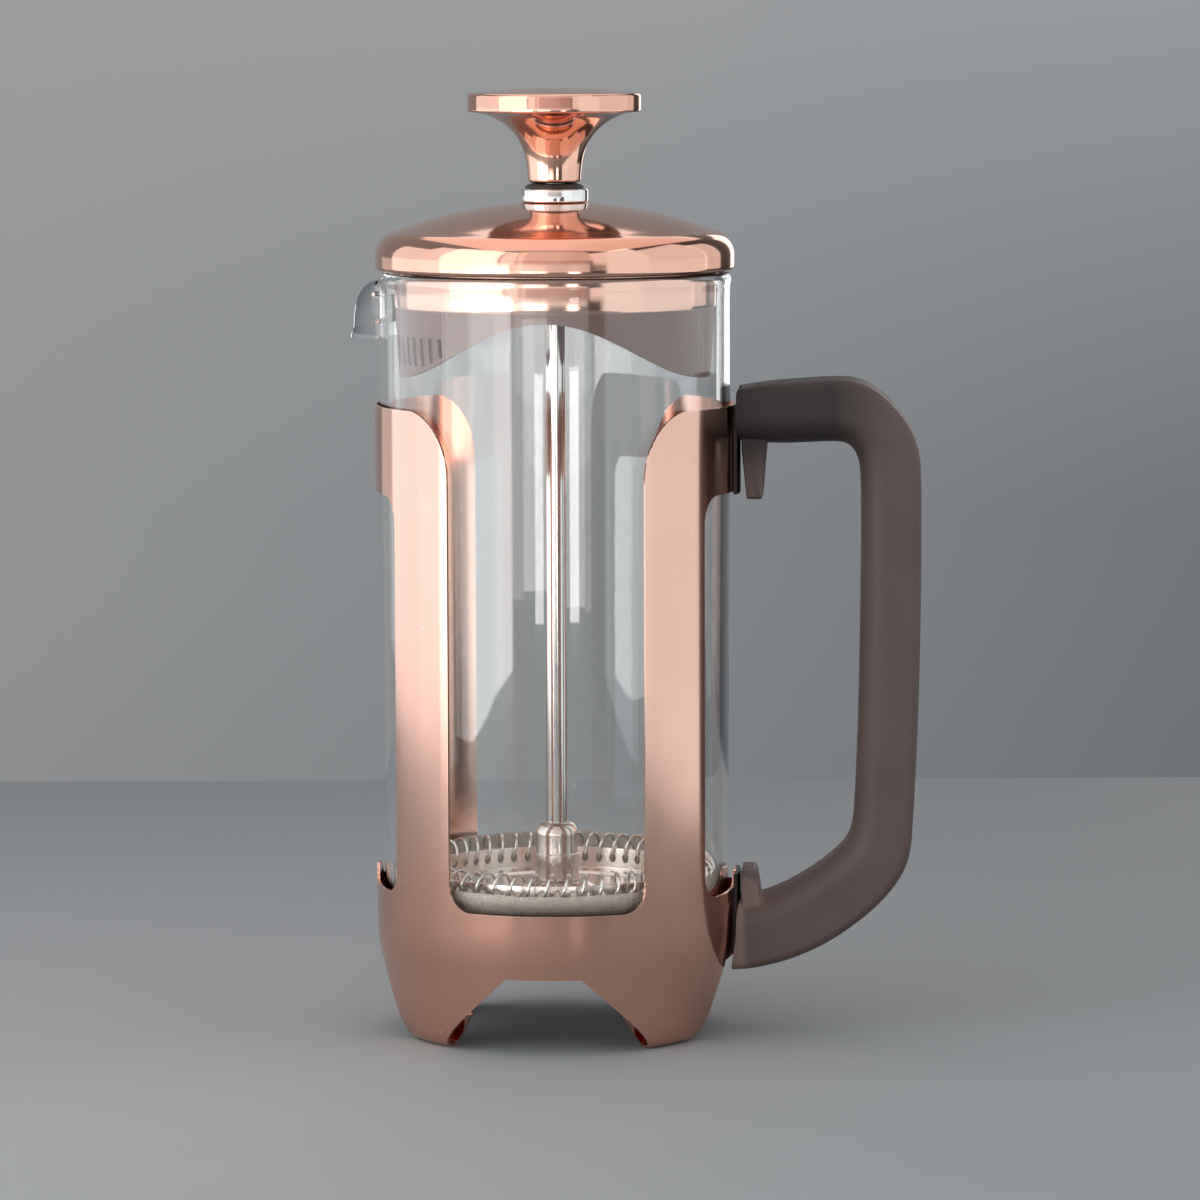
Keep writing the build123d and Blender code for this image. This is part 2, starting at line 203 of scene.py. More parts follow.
def box_cutter(x0, x1, y0, y1, z0, z1, turn=0.0):
    c, s = math.cos(turn), math.sin(turn)
    v = [(x * c - y * s, x * s + y * c, z) for z in (z0, z1) for x, y in ((x0, y0), (x1, y0), (x1, y1), (x0, y1))]
    f = [[0, 1, 2, 3], [4, 5, 6, 7], [0, 1, 5, 4], [1, 2, 6, 5], [2, 3, 7, 6], [3, 0, 4, 7]]
    return make("cutter", v, f, None, smooth=False)


def join(obs):
    bpy.ops.object.select_all(action="DESELECT")
    for o in obs:
        o.select_set(True)
    ctx.view_layer.objects.active = obs[0]
    bpy.ops.object.join()
    return obs[0]


def boolean(ob, tool, op="DIFFERENCE"):
    m = ob.modifiers.new("b", "BOOLEAN")
    m.operation = op
    m.solver = "EXACT"
    m.object = tool
    ctx.view_layer.objects.active = ob
    bpy.ops.object.modifier_apply(modifier=m.name)
    bpy.data.objects.remove(tool, do_unlink=True)
    for p in ob.data.polygons:
        p.use_smooth = True


def sharp(ob, deg=35):
    ob.data.set_sharp_from_angle(angle=math.radians(deg))


def bevel(ob, width, segs=2, deg=40):
    m = ob.modifiers.new("edge", "BEVEL")
    m.width = width * MM
    m.segments = segs
    m.limit_method = "ANGLE"
    m.angle_limit = math.radians(deg)
    m.harden_normals = False
    m.miter_outer = "MITER_ARC"


def weigh(ob):
    m = ob.modifiers.new("normals", "WEIGHTED_NORMAL")
    m.mode = "FACE_AREA"
    m.weight = 60
    m.keep_sharp = True


# ------------------------------------------------------------------ materials
def node_mat(name):
    m = bpy.data.materials.new(name)
    m.use_nodes = True
    nt = m.node_tree
    bsdf = nt.nodes["Principled BSDF"]
    return m, nt, bsdf


def coords(nt, scale=(1, 1, 1)):
    tc = nt.nodes.new("ShaderNodeTexCoord")
    mp = nt.nodes.new("ShaderNodeMapping")
    mp.inputs["Scale"].default_value = scale
    nt.links.new(tc.outputs["Object"], mp.inputs["Vector"])
    return mp.outputs["Vector"]


def noise(nt, vec, scale, detail=3.0, rough=0.55):
    n = nt.nodes.new("ShaderNodeTexNoise")
    n.inputs["Scale"].default_value = scale
    n.inputs["Detail"].default_value = detail
    n.inputs["Roughness"].default_value = rough
    nt.links.new(vec, n.inputs["Vector"])
    return n.outputs["Fac"]


def remap(nt, sock, a, b, lo=0.3, hi=0.7):
    m = nt.nodes.new("ShaderNodeMapRange")
    m.inputs["From Min"].default_value = lo
    m.inputs["From Max"].default_value = hi
    m.inputs["To Min"].default_value = a
    m.inputs["To Max"].default_value = b
    nt.links.new(sock, m.inputs["Value"])
    return m.outputs["Result"]


def mixcol(nt, fac, c1, c2):
    m = nt.nodes.new("ShaderNodeMix")
    m.data_type = "RGBA"
    for sock, c in ((m.inputs[6], c1), (m.inputs[7], c2)):
        if isinstance(c, tuple):
            sock.default_value = (c[0], c[1], c[2], 1)
        else:
            nt.links.new(c, sock)
    if isinstance(fac, float):
        m.inputs[0].default_value = fac
    else:
        nt.links.new(fac, m.inputs[0])
    return m.outputs[2]


def add_bump(nt, bsdf, height, strength, dist):
    b = nt.nodes.new("ShaderNodeBump")
    b.inputs["Strength"].default_value = strength
    b.inputs["Distance"].default_value = dist
    nt.links.new(height, b.inputs["Height"])
    nt.links.new(b.outputs["Normal"], bsdf.inputs["Normal"])


def edge_wear(nt, lo=0.52, hi=0.6):
    g = nt.nodes.new("ShaderNodeNewGeometry")
    return remap(nt, g.outputs["Pointiness"], 0.0, 1.0, lo, hi)


def edge_angle(nt, radius):
    """Mask of the edges, from how far the surface turns within a small radius."""
    bv = nt.nodes.new("ShaderNodeBevel")
    bv.samples = 4
    bv.inputs["Radius"].default_value = radius
    g = nt.nodes.new("ShaderNodeNewGeometry")
    d = nt.nodes.new("ShaderNodeVectorMath")
    d.operation = "DOT_PRODUCT"
    nt.links.new(bv.outputs["Normal"], d.inputs[0])
    nt.links.new(g.outputs["Normal"], d.inputs[1])
    return remap(nt, d.outputs["Value"], 1.0, 0.0, 0.80, 0.985)


def metal(name, c1, c2, r1, r2, stretch=(1, 1, 1), grain=2500, bump=0.02, edge_wear_and_highlight=None, aniso=0.0, blot=60, cut=False, specks=False, shade_split=None):
    m, nt, b = node_mat(name)
    b.inputs["Metallic"].default_value = 1.0
    v = coords(nt)
    vs = coords(nt, stretch)
    col = mixcol(nt, remap(nt, noise(nt, v, blot, 4), 0, 1), c1, c2)
    # painted shade: below object z 30 mm the copper keeps its darker, browner colours, and above 46 mm it turns to the
    # paler ones. shade_split holds that z range and the paler colours, standing in for the dark floor reflected in the
    # lower cup
    if shade_split is not None:
        sx = nt.nodes.new("ShaderNodeSeparateXYZ")
        nt.links.new(v, sx.inputs["Vector"])
        col = mixcol(nt, remap(nt, sx.outputs["Z"], 0.0, 1.0, shade_split[0], shade_split[1]), col, mixcol(nt, remap(nt, noise(nt, v, blot, 4), 0, 1), shade_split[2], shade_split[3]))
    # lighter colour on the edges: partly wear, and on the cut edges of the satin frame (cut=True) a painted highlight
    # for the bright line the sheet's cut edges catch
    if edge_wear_and_highlight is not None:
        col = mixcol(nt, edge_angle(nt, 0.00035) if cut else edge_wear(nt), col, edge_wear_and_highlight)
    if specks:
        col = mixcol(nt, remap(nt, noise(nt, coords(nt, (1, 1, 0.6)), 620, 2, 0.5), 0.0, 0.7, 0.735, 0.80), col, (0.96, 0.80, 0.72))
    nt.links.new(col, b.inputs["Base Color"])
    g = noise(nt, vs, grain, 4, 0.6)
    f = noise(nt, v, blot * 3, 3)
    mx = nt.nodes.new("ShaderNodeMath")
    mx.operation = "ADD"
    nt.links.new(remap(nt, g, 0, 0.5), mx.inputs[0])
    nt.links.new(remap(nt, f, 0, 0.5), mx.inputs[1])
    nt.links.new(remap(nt, mx.outputs[0], r1, r2, 0, 1), b.inputs["Roughness"])
    b.inputs["Anisotropic"].default_value = aniso
    if aniso:
        b.inputs["Anisotropic Rotation"].default_value = 0.25
        tg = nt.nodes.new("ShaderNodeTangent")
        tg.direction_type = "RADIAL"
        tg.axis = "Z"
        nt.links.new(tg.outputs["Tangent"], b.inputs["Tangent"])
    add_bump(nt, b, g, bump, 0.00003)
    return m


M_POLISH = metal("copper_polished", (0.83, 0.472, 0.355), (0.80, 0.448, 0.335), 0.088, 0.112, grain=1800, bump=0.010, edge_wear_and_highlight=(0.93, 0.63, 0.52))
# the satin copper is painted darker and browner on the lower cup as painted shade
M_SATIN = metal("copper_satin", (0.80, 0.438, 0.330), (0.755, 0.405, 0.304), 0.11, 0.155, stretch=(1, 1, 0.12), grain=5200, bump=0.035, edge_wear_and_highlight=(0.95, 0.68, 0.57), aniso=0.6, blot=42, cut=True, specks=True, shade_split=(0.030, 0.046, (0.80, 0.482, 0.384), (0.765, 0.455, 0.362)))
M_LINER, _nt, _b = node_mat("copper_liner")
_sx = _nt.nodes.new("ShaderNodeSeparateXYZ")
_nt.links.new(coords(_nt), _sx.inputs["Vector"])
# painted shade: below z 146.7 mm the skirt is painted dark brown, less metallic and rougher, standing in for the shade
# it lies in under the lid's rim
_skirt_shade = remap(_nt, _sx.outputs["Z"], 1.0, 0.0, 0.1466, 0.1470)
_n = noise(_nt, coords(_nt, (1, 1, 0.2)), 60, 4)
_up = mixcol(_nt, remap(_nt, _n, 0, 1), (0.84, 0.52, 0.415), (0.81, 0.49, 0.385))
_shade_col = mixcol(_nt, remap(_nt, _n, 0, 1), (0.262, 0.160, 0.146), (0.320, 0.204, 0.186))
_mc = _nt.nodes.new("ShaderNodeMix")
_mc.data_type = "RGBA"
_nt.links.new(_skirt_shade, _mc.inputs[0])
_nt.links.new(_up, _mc.inputs[6])
_nt.links.new(_shade_col, _mc.inputs[7])
_nt.links.new(_mc.outputs[2], _b.inputs["Base Color"])
_nt.links.new(remap(_nt, _skirt_shade, 1.0, 0.25), _b.inputs["Metallic"])
_rg = _nt.nodes.new("ShaderNodeMath")
_rg.operation = "ADD"
_nt.links.new(remap(_nt, _skirt_shade, 0.09, 0.46), _rg.inputs[0])
_nt.links.new(remap(_nt, noise(_nt, coords(_nt), 300, 3), 0.0, 0.04), _rg.inputs[1])
_nt.links.new(_rg.outputs[0], _b.inputs["Roughness"])
add_bump(_nt, _b, noise(_nt, coords(_nt, (1, 1, 0.3)), 1800, 3), 0.02, 0.00003)
M_CHROME = metal("chrome_plate", (0.86, 0.85, 0.84), (0.80, 0.79, 0.78), 0.04, 0.09, grain=1800, bump=0.01)
M_STEEL = metal("stainless", (0.81, 0.725, 0.668), (0.71, 0.63, 0.578), 0.17, 0.30, stretch=(1, 1, 0.15), grain=4200, bump=0.04)
M_ROD = metal("stainless_rod", (0.80, 0.76, 0.73), (0.73, 0.69, 0.66), 0.08, 0.16, stretch=(1, 1, 0.04), grain=4200, bump=0.03)
M_SPRING = metal("spring_wire", (0.82, 0.80, 0.77), (0.72, 0.69, 0.66), 0.10, 0.20, grain=3000, bump=0.03)
M_STRAP = metal("black_strap", (0.030, 0.024, 0.023), (0.045, 0.034, 0.032), 0.32, 0.5, grain=4000, bump=0.05)


def plastic(name, c1, c2, r1, r2, grain=3800, bump=0.12, shade=None):
    m, nt, b = node_mat(name)
    v = coords(nt)
    col = mixcol(nt, remap(nt, noise(nt, v, 45, 5), 0, 1), c1, c2)
    col = mixcol(nt, edge_wear(nt, 0.53, 0.64), col, tuple(min(1, x * 1.9) for x in c2))
    # painted shade: the top arm (object z above the shade range, x below 0.056-0.068 m) is darkened to a fifth of its
    # colour
    if shade is not None:
        sx = nt.nodes.new("ShaderNodeSeparateXYZ")
        tc = nt.nodes.new("ShaderNodeTexCoord")
        nt.links.new(tc.outputs["Object"], sx.inputs["Vector"])
        arm_shade_mask = nt.nodes.new("ShaderNodeMath")
        arm_shade_mask.operation = "MULTIPLY"
        nt.links.new(remap(nt, sx.outputs["Z"], 0.0, 1.0, shade[0], shade[1]), arm_shade_mask.inputs[0])
        nt.links.new(remap(nt, sx.outputs["X"], 1.0, 0.0, 0.056, 0.068), arm_shade_mask.inputs[1])
        col = mixcol(nt, arm_shade_mask.outputs[0], col, tuple(x * 0.20 for x in c1))
    nt.links.new(col, b.inputs["Base Color"])
    g = noise(nt, v, grain, 3, 0.5)
    nt.links.new(remap(nt, noise(nt, v, 120, 4), r1, r2), b.inputs["Roughness"])
    b.inputs["Specular IOR Level"].default_value = 0.5
    add_bump(nt, b, g, bump, 0.00006)
    return m


# shade: the object-Z range over which the handle's top arm is painted darker, as painted shade
M_HANDLE = plastic("handle_plastic", (0.076, 0.050, 0.046), (0.093, 0.063, 0.058), 0.50, 0.62, shade=(0.104, 0.119))
M_NYLON = plastic("nylon_bush", (0.020, 0.018, 0.018), (0.030, 0.027, 0.026), 0.35, 0.5)

M_GLASS, _nt, _b = node_mat("clear_glass")
_b.inputs["Base Color"].default_value = (0.993, 1.0, 0.994, 1)
_b.inputs["Transmission Weight"].default_value = 1.0
_b.inputs["IOR"].default_value = 1.474
_v = coords(_nt, (1, 1, 0.35))
_nt.links.new(remap(_nt, noise(_nt, _v, 90, 3), 0.0, 0.012), _b.inputs["Roughness"])
add_bump(_nt, _b, noise(_nt, _v, 38, 2, 0.4), 0.05, 0.0004)

M_SPOUT = M_GLASS.copy()
M_SPOUT.name = "clear_glass_thin"
M_SPOUT.node_tree.nodes["Principled BSDF"].inputs["IOR"].default_value = 1.07

# woven wire cloth: two crossing sets of wires with real gaps between them
M_MESH, _nt, _b = node_mat("woven_mesh")
_b.inputs["Metallic"].default_value = 0.06
_uv = _nt.nodes.new("ShaderNodeTexCoord")
_sp = _nt.nodes.new("ShaderNodeSeparateXYZ")
_nt.links.new(_uv.outputs["UV"], _sp.inputs["Vector"])


def _m(op, a, b=None, c=None):
    n = _nt.nodes.new("ShaderNodeMath")
    n.operation = op
    for i, s in enumerate((a, b, c)):
        if s is None:
            continue
        if isinstance(s, (int, float)):
            n.inputs[i].default_value = s
        else:
            _nt.links.new(s, n.inputs[i])
    return n.outputs[0]


PITCH = 0.48
_su = _m("SINE", _m("MULTIPLY", _sp.outputs["X"], math.pi / PITCH))
_sv = _m("SINE", _m("MULTIPLY", _sp.outputs["Y"], math.pi / PITCH))
_au, _av = _m("ABSOLUTE", _su), _m("ABSOLUTE", _sv)
_wire = _m("MAXIMUM", _au, _av)
_alpha = _m("GREATER_THAN", _wire, 0.47)
_over = _m("MULTIPLY", _su, _sv)
_h = _m("ADD", _m("MULTIPLY", _wire, 0.7), _m("MULTIPLY", _over, 0.3))
_nt.links.new(_alpha, _b.inputs["Alpha"])
_nt.links.new(mixcol(_nt, remap(_nt, noise(_nt, coords(_nt), 200, 3), 0, 1), (1.0, 0.875, 0.775), (0.92, 0.79, 0.69)), _b.inputs["Base Color"])
_nt.links.new(remap(_nt, noise(_nt, coords(_nt), 900, 3), 0.22, 0.4), _b.inputs["Roughness"])
add_bump(_nt, _b, _h, 0.8, 0.00018)


def keep_node(node, mat, bev=0.15, deg=35):
    """A CAD node whose shape stays; it gets its finish and softened edges."""
    ob = frame["nodes"][node]
    ob.data.materials.clear()
    ob.data.materials.append(mat)
    if bev:
        m = ob.modifiers.new("weld", "WELD")
        m.merge_threshold = 2e-6
        bevel(ob, bev, 2, deg)
    return ob


def done(ob, body, *nodes, slot=None):
    ob.name = ob.name
    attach(ob, body)
    if nodes:
        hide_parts(*nodes)
    return ob


# ------------------------------------------------------------------ frame sheet
T = 0.55
R = 36.385
low = spl([(R, 26.0), (36.37, 22.5), (36.25, 20.0), (36.0, 17.8), (35.6, 15.4), (35.05, 12.0), (34.4, 8.4),
           (33.8, 5.4), (33.1, 3.1), (32.2, 1.3), (31.0, 0.32), (29.7, 0.12), (28.7, 0.7), (28.3, 1.9),
           (28.6, 3.4), (29.6, 5.1), (30.9, 6.6), (32.2, 7.9)], 5)
wall = [(R, 127.1), (R, 122.0), (R, 112.0), (R, 96.0), (R, 80.0), (R, 64.0), (R, 48.0), (R, 34.0)] + low
shell = wall + offset(wall, -T)[::-1]
fr = lathe("frame_sheet", shell, M_SATIN, segs=288)


def window_outline(c):
    """Opening centred on c degrees: rounded lower corners, ends flared at the top."""
    half = 32.4
    k = math.degrees(1 / R)
    cr = 5.0
    right = [(half - cr * k + cr * k * math.sin(t), 28.4 + cr - cr * math.cos(t)) for t in [i / 10 * math.pi / 2 for i in range(11)]]
    for i in range(17):
        t = i / 16 * math.pi / 2
        s = 32.0 - 11.4 * math.cos(t)
        right.append((s * k, 113.9 + 13.3 * math.sin(t)))
    right.append((32.6 * k, 127.3))
    right.append((32.8 * k, 135.0))
    pts = right + [(-d, z) for d, z in right[::-1]]
    return [(c + d, z) for d, z in pts]


def side_outline(c, z0):
    half = 32.2
    k = math.degrees(1 / R)
    z1 = 109.8
    right = [(0, z0 + 3.6), (2.6, z0 + 3.6), (3.9, z0 + 3.3), (4.9, z0 + 2.5), (5.8, z0 + 1.6), (7.0, z0 + 0.95), (9.5, z0 + 0.55), (13.5, z0 + 0.25), (19.0, z0)]
    cr = 4.2
    right += [(half - cr * k + cr * k * math.sin(t), z0 + cr - cr * math.cos(t)) for t in [i / 8 * math.pi / 2 for i in range(9)]]
    cr = 5.2
    right += [(half - cr * k + cr * k * math.cos(t), z1 - cr + cr * math.sin(t)) for t in [i / 8 * math.pi / 2 for i in range(9)]]
    left = [(-d, z) for d, z in right[1:][::-1]]
    return [(c + d, z) for d, z in right + left]


def arch_outline(c, pts):
    right = fil([(0, pts[0][1])] + pts, 4)
    pts = right + [(-d, z) for d, z in right[1:][::-1]]
    return [(c + d, z) for d, z in pts]


FRONT_ARCH = [(12.3, 15.55, 0.7), (19.3, 11.75), (27.0, 7.75), (33.6, 4.4, 4), (37.8, 2.1, 1.5), (40.2, 0.4), (40.6, -3.0)]
SIDE_ARCH = [(14.2, 15.6, 0.9), (20.5, 8.0), (24.6, 3.0), (26.0, 0.6), (26.2, -3.0)]
cuts = [radial_cutter(window_outline(-90), 20, 60), radial_cutter(window_outline(90), 20, 60),
        radial_cutter(side_outline(0, 29.4), 20, 60), radial_cutter(side_outline(180, 30.3), 20, 60)]
arches = [radial_cutter(arch_outline(-91.0, FRONT_ARCH), 20, 60), radial_cutter(arch_outline(90, FRONT_ARCH), 20, 60),
          radial_cutter(arch_outline(0, SIDE_ARCH), 20, 60), radial_cutter(arch_outline(180, SIDE_ARCH), 20, 60)]
boolean(fr, join(cuts))
boolean(fr, join(arches))
# ledges turned inward at the tops of the arches
for c in (0, 90, 180, 270):
    hw = 7.3
    rows = []
    prof = [(35.3, 15.6), (34.9, 15.68), (34.2, 15.75), (27.4, 15.75), (26.9, 16.1), (27.4, 16.45), (34.4, 16.45), (35.35, 16.3)]
    verts, faces = [], []
    na = 10
    for i in range(na + 1):
        y = -hw + 2 * hw * i / na
        for r, z in prof:
            x = math.sqrt(max(r * r - y * y, 0))
            a = math.radians(c)
            verts.append((x * math.cos(a) - y * math.sin(a), x * math.sin(a) + y * math.cos(a), z))
    n = len(prof)
    for i in range(na):
        for j in range(n):
            faces.append([i * n + j, i * n + (j + 1) % n, (i + 1) * n + (j + 1) % n, (i + 1) * n + j])
    faces.append(list(range(n)))
    faces.append([na * n + j for j in range(n)][::-1])
    fr = join([fr, make("ledge", verts, faces, M_SATIN)])
fr.name = "frame_sheet"
sharp(fr, 40)
bevel(fr, 0.22, 3, 45)
done(fr, "frame_body", "frame", slot="satin_copper")

# ------------------------------------------------------------------ glass beaker
zb = 16.5
outer = ([(0, zb + 0.35), (12, zb + 0.3), (22, zb + 0.12)] + arc(28.8, zb + 6.0, 6.0, -90, 0, 14)
         + [(34.8, 40.0), (34.8, 62.0), (34.85, 80.0), (34.95, 96.0), (35.08, 110.0), (35.2, 124.0), (35.25, 138.0), (35.25, 148.2)])
bead = spl([(35.25, 148.2), (35.27, 149.6), (35.36, 150.7), (35.5, 151.7), (35.42, 152.6), (35.0, 153.3), (34.4, 153.55),
            (33.9, 153.3), (33.66, 152.6), (33.62, 151.3), (33.58, 149.5)], 4)
inner = [(33.52, 138.0), (33.5, 124.0), (33.38, 110.0), (33.25, 96.0), (33.15, 80.0), (33.1, 62.0), (33.1, 40.0)]
inner += arc(33.1 - 4.6, zb + 2.2 + 4.6, 4.6, 0, -90, 12) + [(20, zb + 2.1), (0, zb + 2.3)]
bk = lathe("beaker_glass", outer + bead[1:] + inner, M_GLASS, segs=224, closed=False)


def hood(g):
    """Downturned half elbow; g shrinks it to give the inside."""
    line = spl([(41.02, 140.35), (41.02, 140.9), (40.7, 141.6), (40.5, 142.6), (40.38, 144.6), (40.1, 146.6), (39.6, 148.4), (38.8, 149.9), (37.8, 151.0), (36.7, 151.65), (35.2, 151.95)], 4)
    prof = offset(line, g) if g else line
    if g:
        prof = [(prof[0][0], 138.5)] + prof[1:]
    nu = 40
    verts, faces = [], []
    x_in = 34.3 if g == 0 else 34.9
    for j, (xo, z) in enumerate(prof):
        f = 1.0
        if z > 146.3:
            f = 1.0 - 0.20 * min((z - 146.3) / 5.75, 1.0) ** 1.5
        hw = (6.9 - g) * f
        reach = xo - x_in
        for i in range(nu + 1):
            u = math.pi * i / nu
            su, cu = math.sin(u), math.cos(u)
            e = 0.85
            verts.append((-(x_in + reach * abs(su) ** e), hw * math.copysign(abs(cu) ** e, cu), z))
    last = len(prof) - 1
    w = nu + 1
    for j in range(last):
        for i in range(nu):
            faces.append([j * w + i, j * w + i + 1, (j + 1) * w + i + 1, (j + 1) * w + i])
        faces.append([j * w + nu, j * w, (j + 1) * w, (j + 1) * w + nu])
    faces.append(list(range(w)))
    faces.append([last * w + i for i in range(w)][::-1])
    return make("hood", verts, faces, M_GLASS)


core = lathe("core", [(0, 120), (34.35, 120), (34.35, 156), (0, 156)], None, segs=224, closed=False)
hd = hood(0.0)
boolean(hd, core)
boolean(bk, hd, "UNION")
ci = hood(0.9)
keep = box_cutter(-60, -35.1, -20, 20, 130, 150.9)
boolean(ci, keep, "INTERSECT")
boolean(bk, ci)
fo = fil([(-5.2, 143.2, 1.6), (5.2, 143.2, 1.6), (4.6, 149.4, 1.8), (-4.6, 149.4, 1.8)], 6, closed=True)
n = len(fo)
fv = [(x, y, z) for x in (-36.4, -30.0) for y, z in fo]
ff = [[i, (i + 1) % n, n + (i + 1) % n, n + i] for i in range(n)] + [list(range(n)), [n + i for i in range(n)][::-1]]
boolean(bk, make("feed", fv, ff, None))
bk.data.materials.append(M_SPOUT)
for p in bk.data.polygons:
    if p.center.x < -0.0357 and abs(p.center.y) < 0.009:
        p.material_index = len(bk.data.materials) - 1
sharp(bk, 42)
bevel(bk, 0.3, 3, 50)
weigh(bk)
done(bk, "beaker_body", "beaker", slot="clear_glass")

# ------------------------------------------------------------------ lid
RHO, APEX = 92.0, 167.55


def crown(r, drop=0.0):
    return APEX - drop - (RHO - math.sqrt(RHO * RHO - r * r))


top = [(r, crown(r)) for r in [4.2, 5, 7, 9, 11, 13, 15, 17, 19, 21, 23, 25, 27, 29, 30.5, 31.8]]
sh = arc(31.1, 156.9, 5.0, 68, 0, 22)
out = top + sh + [(36.1, 156.2), (36.1, 155.4), (36.1, 154.9)] + arc(35.15, 154.85, 0.95, -10, -90, 8)
out += [(34.2, 153.9), (33.45, 153.9)] + arc(33.45, 154.2, 0.3, -90, -270, 6)
out += [(34.4, 154.55), (34.9, 154.75), (35.2, 155.2), (35.25, 156.2)] + arc(31.1, 156.9, 4.2, 0, 68, 14)
out += [(r, crown(r, 0.8)) for r in [31.2, 29, 26, 23, 20, 17, 14, 11, 8, 6, 4.2]]
dm = lathe("lid_dome_shell", out, M_POLISH, segs=320)
sharp(dm, 50)
done(dm, "lid_body", "lid_dome", slot="polished_copper")

# liner: inner cup with a wavy skirt and strainer slots
RL = 32.3
cup = [(4.2, 158.0), (RL - 1.4, 158.0)] + arc(RL - 1.3, 156.7, 1.3, 90, 0, 8)
outl = cup + [(RL, 155.0), (RL, 152.0), (RL, 149.0), (RL, 147.6), (RL - 0.02, 147.25), (RL - 0.06, 147.0), (RL - 0.12, 146.6)]
segs = 384
verts, faces = [], []
low_n = 14


def skirt_low(a):
    c = math.cos(a)  # a measured from the front
    return 132.8 + 11.9 * c ** 4


rows = []
for s in (0, 1):
    prof = outl if s == 0 else [(r - 0.6 if i > 1 else r, z - (0.6 if r < RL - 1.0 else 0.45 * (r < RL))) for i, (r, z) in enumerate(outl)]
    if s == 1:
        prof = ([(4.2, 157.4), (RL - 1.7, 157.4)] + arc(RL - 1.9, 156.1, 1.3, 90, 0, 8)
                + [(RL - 0.6, 155.0), (RL - 0.6, 152.0), (RL - 0.6, 149.0), (RL - 0.6, 147.4), (RL - 0.62, 147.1), (RL - 0.66, 146.9), (RL - 0.72, 146.6)])
    block = []
    for r, z in prof:
        block.append([(r, z)] * segs)
    r_low = RL - 0.36 if s == 0 else RL - 0.96
    for j in range(1, low_n + 1):
        row = []
        for k in range(segs):
            a = TAU * k / segs + math.pi / 2
            zl = skirt_low(a)
            zz = 146.6 + (zl - 146.6) * j / low_n
            row.append((r_low + 0.24 - 1.2 * (146.6 - zz) / 16.6, zz))
        block.append(row)
    rows.append(block)
ring = rows[0] + rows[1][::-1]
for row in ring:
    for k, (r, z) in enumerate(row):
        a = TAU * k / segs
        verts.append((r * math.cos(a), r * math.sin(a), z))
m_rows = len(ring)
for j in range(m_rows):
    j2 = (j + 1) % m_rows
    for k in range(segs):
        k2 = (k + 1) % segs
        faces.append([j * segs + k, j * segs + k2, j2 * segs + k2, j2 * segs + k])
ln = make("lid_liner_cup", verts, faces, M_LINER)
slots = []
for k in range(-10, 11):
    t = math.radians(4.9 * k)
    slots.append(box_cutter(-RL - 2, -RL + 3.0, -0.5, 0.5, max(135.7, skirt_low(math.pi / 2 - abs(t)) + 0.9), 141.3, t))
boolean(ln, join(slots))
sharp(ln, 40)
done(ln, "lid_body", "lid_liner", slot="polished_copper")

# ferrule, bush, knob
fe = lathe("ferrule_collar", fil([(3.25, 151.6, 0.2), (4.0, 151.6, 0.2), (4.0, 167.42), (6.78, 167.42, 0.35), (6.78, 170.1, 0.4), (5.15, 170.1, 0.25),
                                   (4.85, 168.8, 0.1), (3.25, 168.8, 0.1)], 5, closed=True), M_CHROME, segs=128)
sharp(fe, 40)
done(fe, "ferrule_body", "ferrule", slot="chrome_plate")
gb = lathe("guide_bush_turned", fil([(2.15, 151.0, 0.2), (3.2, 151.0, 0.3), (3.2, 168.85), (4.72, 168.85, 0.2), (4.72, 170.16), (6.0, 170.16, 0.12), (5.9, 170.5, 0.3), (5.3, 170.95, 0.5),
                                             (4.5, 171.12, 0.3), (2.15, 171.12)], 4, closed=True), M_NYLON, segs=96)
sharp(gb, 40)
done(gb, "bush_body", "guide_bush", slot="black_nylon")

stem = spl([(5.34, 172.2), (5.42, 173.4), (5.62, 175.2), (5.98, 176.9), (6.55, 178.5), (7.35, 180.1), (8.45, 181.5), (9.95, 182.85), (11.9, 184.05), (13.9, 184.9), (15.6, 185.3)], 6)
kp = ([(0, 182.0), (2.15, 182.0), (2.15, 171.5), (2.3, 171.3)] + [(4.6, 171.3)] + arc(4.62, 172.02, 0.72, -90, -6, 6) + stem
      + [(16.2, 185.36), (16.9, 185.4)] + arc(16.95, 185.9, 0.5, -80, 0, 6) + [(17.45, 186.6), (17.45, 187.8), (17.45, 188.4)] + arc(16.75, 188.5, 0.7, 0, 84, 8))
kp += [(r, 189.2 + 0.95 * (1 - (r / 16.8) ** 2)) for r in [15.8, 14, 12, 10, 8, 6, 4, 2]] + [(0, 190.15)]
kn = lathe("knob_turned", kp, M_POLISH, segs=256, closed=False)
sharp(kn, 50)
done(kn, "plunger_body", "knob", slot="polished_copper")

# rod with a short threaded end below
rp = [(0, 24.4), (1.7, 24.4), (2.05, 24.8)]
z = 24.9
while z < 29.6:
    rp += [(2.08, z), (1.8, z + 0.175)]
    z += 0.35
rp += [(2.08, 30.0), (2.08, 60), (2.08, 100), (2.08, 140), (2.08, 170.8), (2.08, 181.6), (1.8, 181.9), (0, 181.9)]
rd = lathe("plunger_rod_turned", rp, M_ROD, segs=64, closed=False)
sharp(rd, 30)
done(rd, "plunger_body", "plunger_rod", slot="stainless")
hp = ([(2.1, 30.45)] + fil([(2.1, 30.45), (4.4, 30.45, 0.3), (4.4, 35.9, 0.15), (4.22, 36.1, 0.1), (4.22, 39.4)], 4)[1:]
      + spl([(4.22, 39.4), (4.2, 40.2), (4.0, 41.0), (3.55, 41.7), (2.95, 42.2), (2.4, 42.4)], 5)[1:] + [(2.1, 42.4)])
hb = lathe("filter_hub_turned", hp, M_STEEL, segs=96)
sharp(hb, 40)
done(hb, "plunger_body", "filter_hub", slot="stainless")

